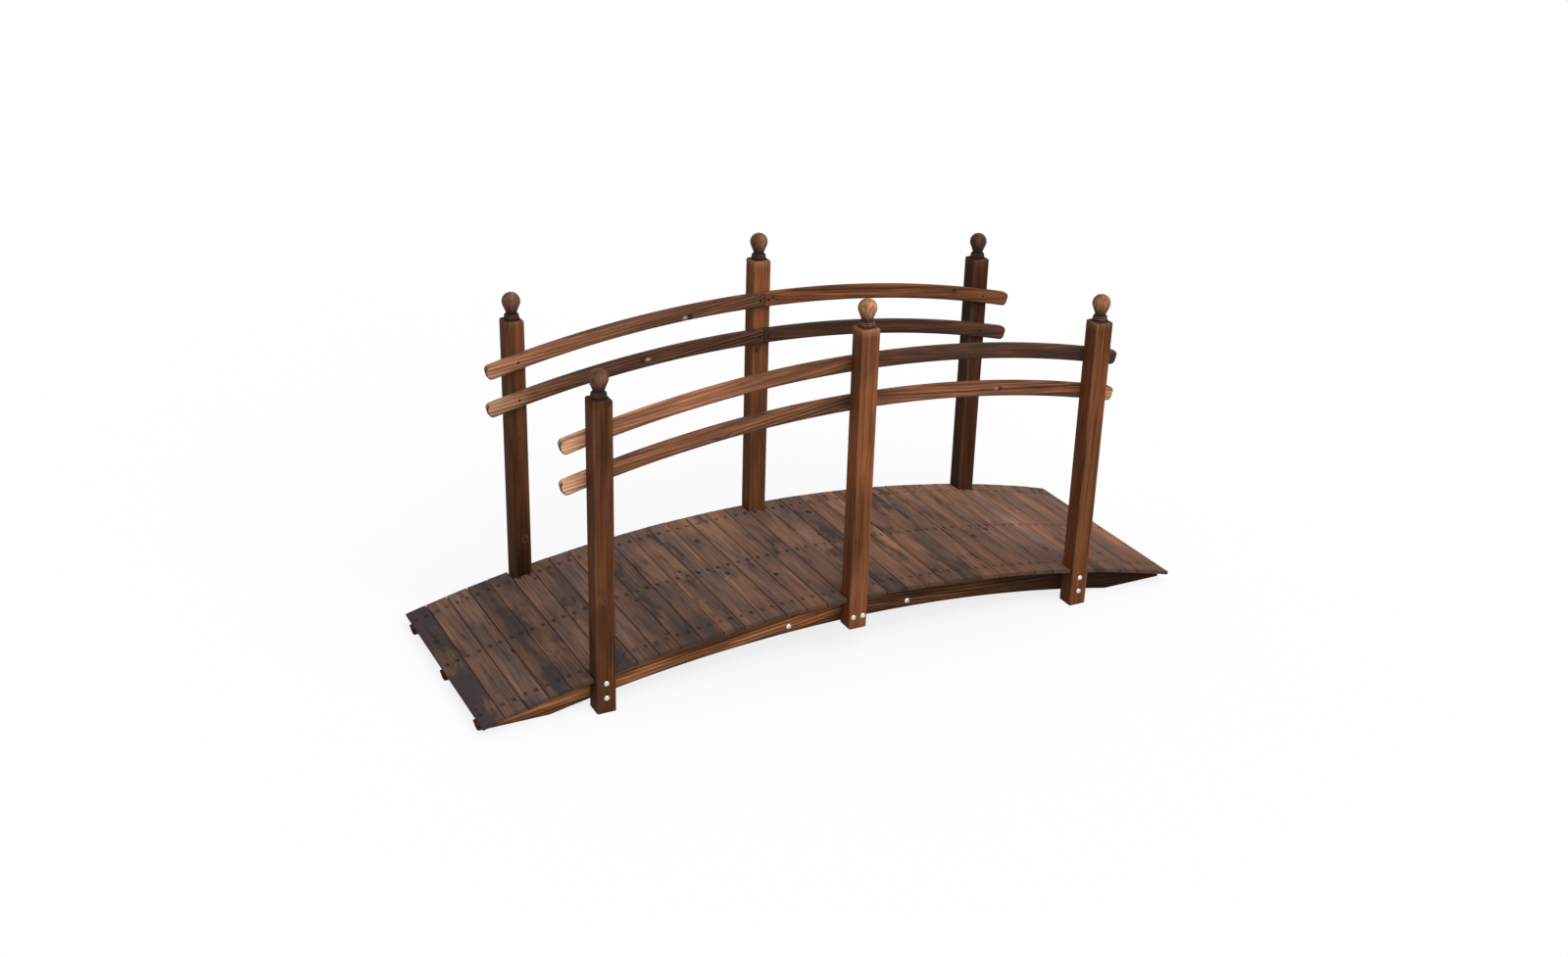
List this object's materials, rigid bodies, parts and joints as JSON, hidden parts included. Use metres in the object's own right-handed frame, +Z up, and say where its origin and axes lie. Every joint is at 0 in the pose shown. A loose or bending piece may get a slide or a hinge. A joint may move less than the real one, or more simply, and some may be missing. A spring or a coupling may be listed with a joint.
{
  "type": "arched garden footbridge",
  "caption": "Arched timber garden footbridge: planked deck on sawn curved stringers, square posts with turned ball finials, and curved rails along both sides.",
  "frame": {"origin": "centre of the bridge on the ground it stands on", "axes": "+X along the bridge to the picture's right, +Y across it away from the picture's viewer, +Z up"},
  "size_m": [2.267, 0.718, 1.0809],
  "materials": {
    "deck_wood": "dark stained fir boards, weathered, with scorched patches and knots",
    "stringer_wood": "brown stained fir, streaked grain",
    "post_wood": "red-brown stained fir, dark grain, eased edges worn paler",
    "rail_wood": "red-brown stained fir, dark sooty stretches, pale sawn ends",
    "finial_wood": "turned fir, brown ball on a nearly black neck",
    "bolt_steel": "bright zinc",
    "nail_steel": "dark, slightly rusted heads"
  },
  "bodies": {
    "root": {"front_left_stringer": "stringer_wood", "front_right_stringer": "stringer_wood", "middle_left_stringer": "stringer_wood", "middle_right_stringer": "stringer_wood", "back_left_stringer": "stringer_wood", "back_right_stringer": "stringer_wood", "front_splice_plate": "stringer_wood", "middle_splice_plate": "stringer_wood", "back_splice_plate": "stringer_wood", "left_ramp_planks": "deck_wood", "left_post_plank": "deck_wood", "left_bay_planks": "deck_wood", "middle_post_plank": "deck_wood", "right_bay_planks": "deck_wood", "right_post_plank": "deck_wood", "right_ramp_planks": "deck_wood", "front_left_post": "post_wood", "front_middle_post": "post_wood", "front_right_post": "post_wood", "back_left_post": "post_wood", "back_middle_post": "post_wood", "back_right_post": "post_wood", "front_left_finial": "finial_wood", "front_middle_finial": "finial_wood", "front_right_finial": "finial_wood", "back_left_finial": "finial_wood", "back_middle_finial": "finial_wood", "back_right_finial": "finial_wood", "front_left_upper_rail": "rail_wood", "front_left_lower_rail": "rail_wood", "front_right_upper_rail": "rail_wood", "front_right_lower_rail": "rail_wood", "back_left_upper_rail": "rail_wood", "back_left_lower_rail": "rail_wood", "back_right_upper_rail": "rail_wood", "back_right_lower_rail": "rail_wood"}
  },
  "joints": []
}
